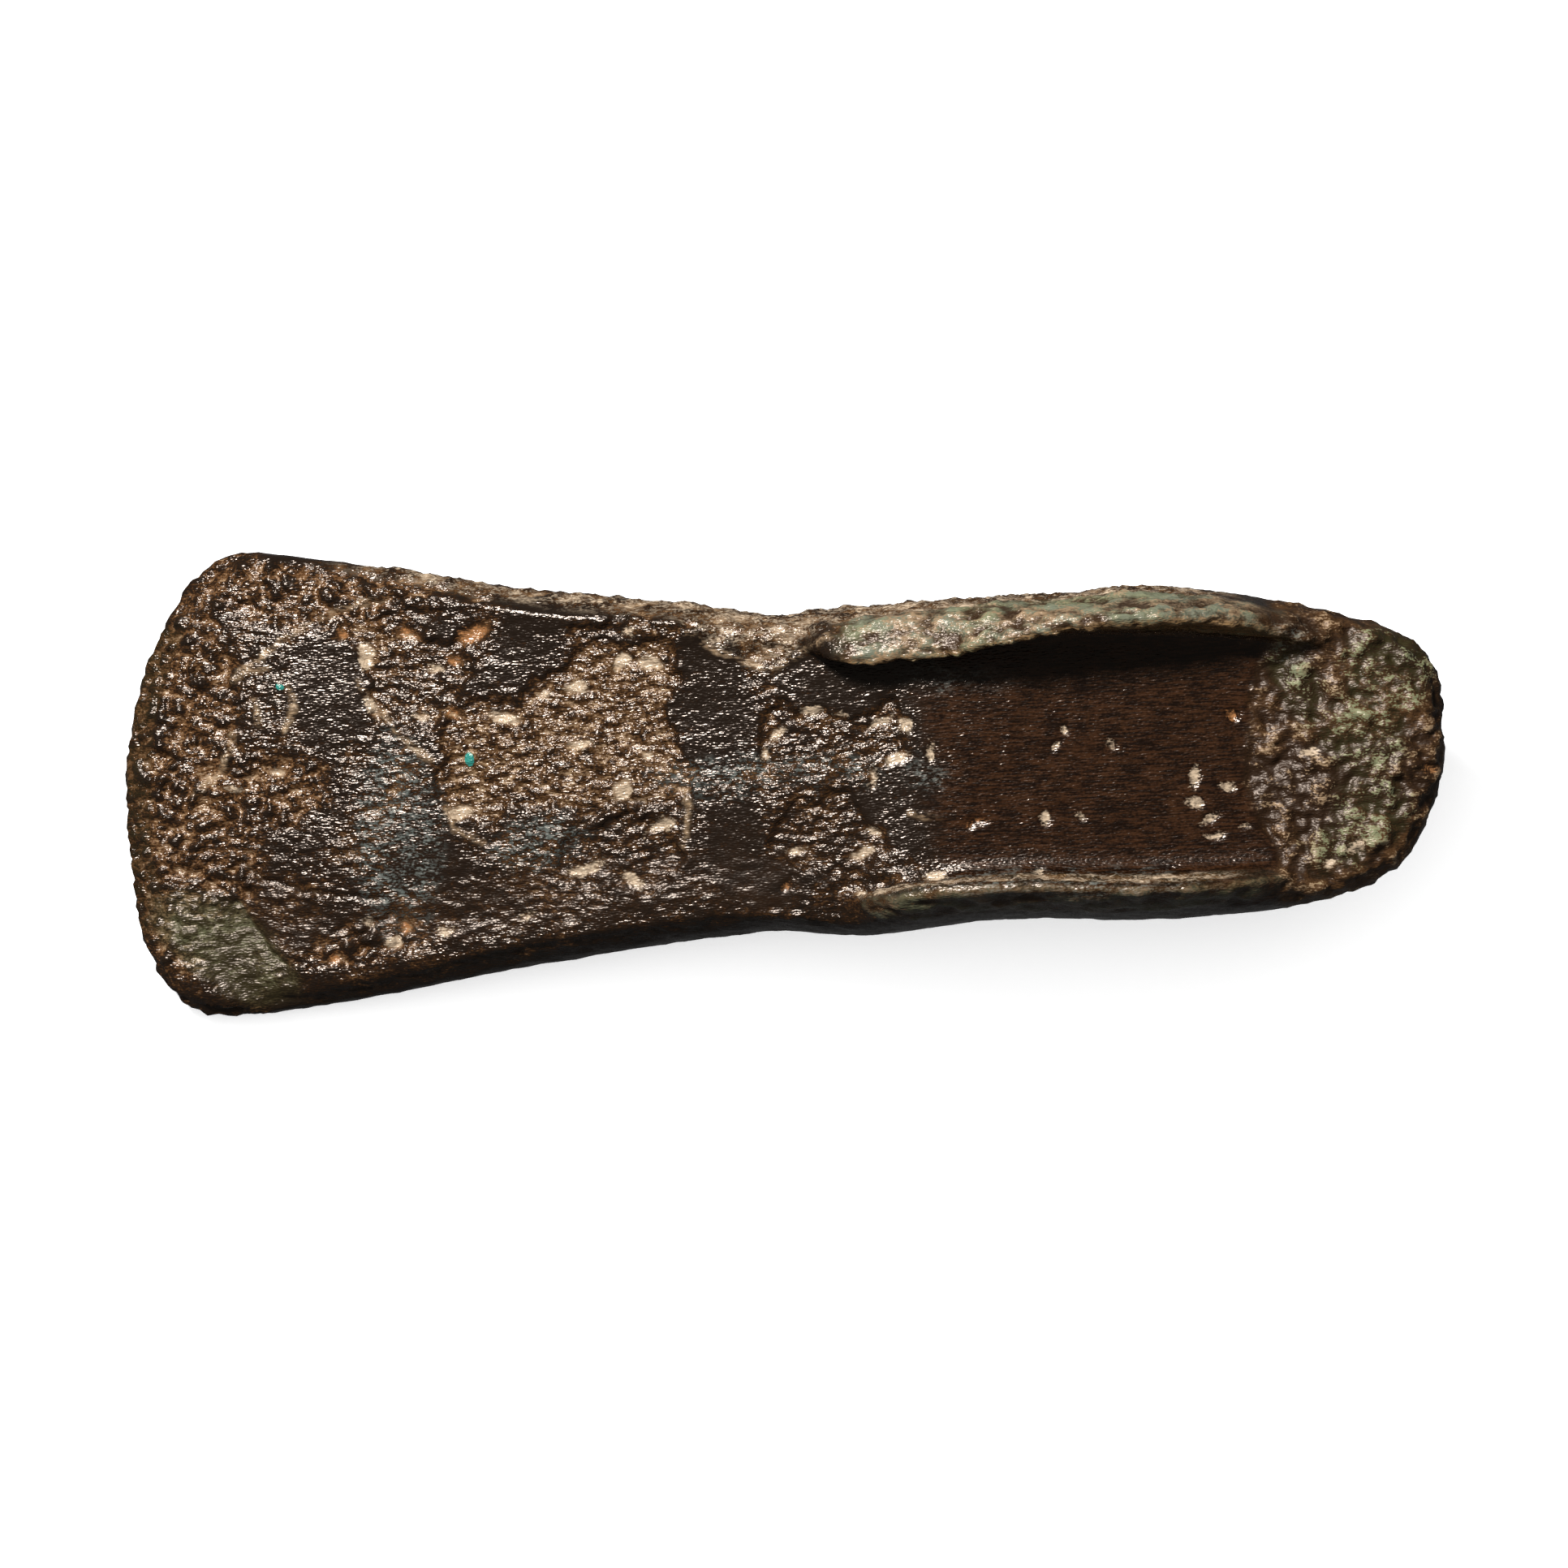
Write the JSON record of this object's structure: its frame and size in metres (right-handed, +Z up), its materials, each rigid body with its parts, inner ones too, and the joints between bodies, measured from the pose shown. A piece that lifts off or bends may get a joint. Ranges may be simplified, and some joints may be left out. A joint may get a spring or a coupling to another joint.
{
  "type": "bronze winged axe head",
  "caption": "Worn bronze winged axe head lying on its back face, flared blade, hafting beds between hammered wings, and a broken rounded butt.",
  "frame": {"origin": "under the middle of the axe, on the surface that it lies on", "axes": "+X along the axe from the cutting edge to the butt, +Y towards the folded wing, +Z up, out of the front face"},
  "size_m": [0.15, 0.0524, 0.0292],
  "materials": {
    "patinated_bronze": "dark brown waxed patina, flaked to tan and orange corrosion, with green on the butt and the wings"
  },
  "bodies": {
    "root": {"axe_head": "patinated_bronze"}
  },
  "joints": []
}
